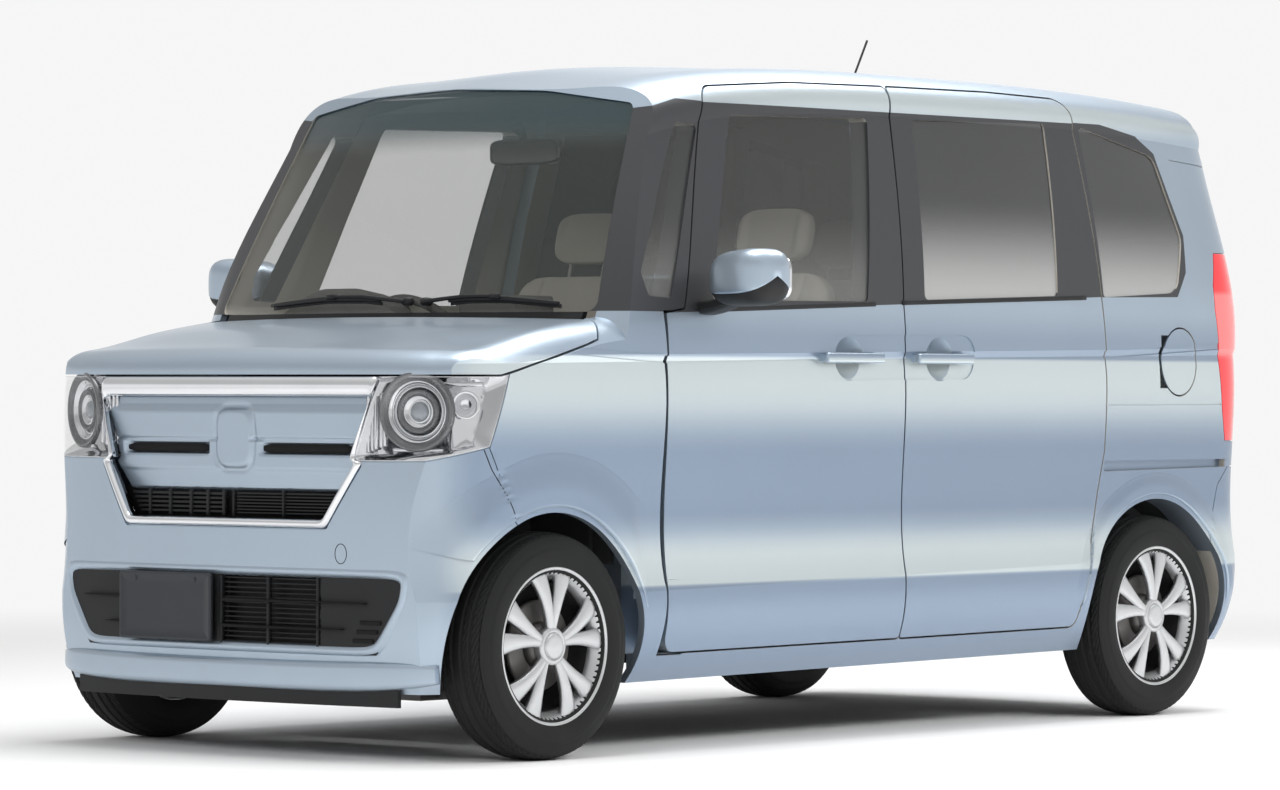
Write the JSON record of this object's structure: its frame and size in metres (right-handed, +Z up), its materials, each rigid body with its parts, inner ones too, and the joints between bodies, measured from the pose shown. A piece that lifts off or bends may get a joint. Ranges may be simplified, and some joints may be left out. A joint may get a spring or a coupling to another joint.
{
  "type": "kei car",
  "caption": "Small tall-roofed city car with hinged front doors, bonnet, tailgate and fuel lid, sliding rear doors and steered front wheels.",
  "frame": {"origin": "ground level below the middle of the car's bounding box", "axes": "+Z up, -Y towards the car's front, +X towards the car's left"},
  "size_m": [1.972, 3.395, 1.8899],
  "materials": {
    "paint": "pale metallic blue gloss",
    "mirror_shell": "pale metallic blue gloss",
    "black_plastic": "satin",
    "chrome": "polished",
    "clear_lens": "clear",
    "red_lens": "clear red",
    "glass": "clear",
    "dark_glass": "dark tinted",
    "cast_metal": "as cast",
    "underbody": "satin",
    "steel": "dull",
    "seat_fabric": "woven",
    "interior_plastic": "grained",
    "tyre": "matte",
    "silver": "silver"
  },
  "bodies": {
    "body": {"body_sides": "paint", "roof_panel": "paint", "front_fenders": "paint", "cowl_panel": "black_plastic", "headlamps": "clear_lens", "front_bumper": "paint", "grille_chrome": "chrome", "grille_panel": "paint", "grille_mesh": "black_plastic", "lower_grille": "black_plastic", "lip_spoiler": "black_plastic", "windshield": "glass", "rear_bumper": "paint", "tail_lamps": "red_lens", "sliding_doors": "paint", "front_quarter_glass": "glass", "privacy_glass": "dark_glass", "front_subframe": "cast_metal", "engine_bay": "underbody", "floor_pan": "underbody", "rear_wheelhouses": "underbody", "rear_axle": "cast_metal", "front_seats": "seat_fabric", "rear_seats": "seat_fabric", "dashboard": "interior_plastic", "engine_block": "cast_metal", "fuel_tank": "black_plastic", "exhaust": "steel", "antenna": "black_plastic", "wipers": "black_plastic"},
    "bonnet": {"bonnet": "paint"},
    "tailgate": {"tailgate": "paint", "tailgate_glass": "dark_glass"},
    "door_left": {"door_left": "paint", "door_glass_left": "glass", "mirror_left": "mirror_shell"},
    "door_right": {"door_right": "paint", "door_glass_right": "glass", "mirror_right": "mirror_shell"},
    "fuel_lid": {"fuel_lid": "paint"},
    "steering_wheel": {"steering_wheel": "interior_plastic"},
    "knuckle_left": {"knuckle_left": "cast_metal"},
    "knuckle_right": {"knuckle_right": "cast_metal"},
    "wheel_front_left": {"tyre_front_left": "tyre", "rim_front_left": "silver"},
    "wheel_front_right": {"tyre_front_right": "tyre", "rim_front_right": "silver"},
    "wheel_rear_left": {"tyre_rear_left": "tyre", "rim_rear_left": "silver"},
    "wheel_rear_right": {"tyre_rear_right": "tyre", "rim_rear_right": "silver"}
  },
  "joints": [
    {"name": "bonnet_hinge", "type": "hinge", "parent": "body", "child": "bonnet", "pos_m": [0, -1.05992, 1.06997], "axis": [-1, 0, 0], "range_deg": [0, 45]},
    {"name": "tailgate_hinge", "type": "hinge", "parent": "body", "child": "tailgate", "pos_m": [0, 1.60701, 1.72119], "axis": [1, 0, 0], "range_deg": [0, 85]},
    {"name": "door_left_hinge", "type": "hinge", "parent": "body", "child": "door_left", "pos_m": [0.7055, -0.83764, 0.6], "axis": [0, 0, -1], "range_deg": [0, 70]},
    {"name": "door_right_hinge", "type": "hinge", "parent": "body", "child": "door_right", "pos_m": [-0.7055, -0.83764, 0.6], "axis": [0, 0, 1], "range_deg": [0, 70]},
    {"name": "fuel_lid_hinge", "type": "hinge", "parent": "body", "child": "fuel_lid", "pos_m": [0.7215, 1.26091, 0.98501], "axis": [0, 0, -1], "range_deg": [0, 80]},
    {"name": "steering_wheel_turn", "type": "hinge", "parent": "body", "child": "steering_wheel", "pos_m": [-0.33, -0.61008, 0.98501], "axis": [0, 0.866, 0.5], "range_deg": [-520, 520]},
    {"name": "steer_left", "type": "hinge", "parent": "body", "child": "knuckle_left", "pos_m": [0.6, -1.2775, 0.148], "axis": [-0.1558, 0, 0.9878], "range_deg": [-32, 32]},
    {"name": "steer_right", "type": "hinge", "parent": "body", "child": "knuckle_right", "pos_m": [-0.6, -1.2775, 0.148], "axis": [0.1558, 0, 0.9878], "range_deg": [-32, 32]},
    {"name": "wheel_front_left_spin", "type": "hinge", "parent": "knuckle_left", "child": "wheel_front_left", "pos_m": [0.6525, -1.2775, 0.27855], "axis": [1, 0, 0], "continuous": true},
    {"name": "wheel_front_right_spin", "type": "hinge", "parent": "knuckle_right", "child": "wheel_front_right", "pos_m": [-0.6525, -1.2775, 0.27855], "axis": [1, 0, 0], "continuous": true},
    {"name": "wheel_rear_left_spin", "type": "hinge", "parent": "body", "child": "wheel_rear_left", "pos_m": [0.6525, 1.2425, 0.27855], "axis": [1, 0, 0], "continuous": true},
    {"name": "wheel_rear_right_spin", "type": "hinge", "parent": "body", "child": "wheel_rear_right", "pos_m": [-0.6525, 1.2425, 0.27855], "axis": [1, 0, 0], "continuous": true}
  ],
  "couplings": [
    {"joint": "steer_right", "follows": "steer_left", "ratio": 1},
    {"joint": "steering_wheel_turn", "follows": "steer_left", "ratio": 15}
  ]
}
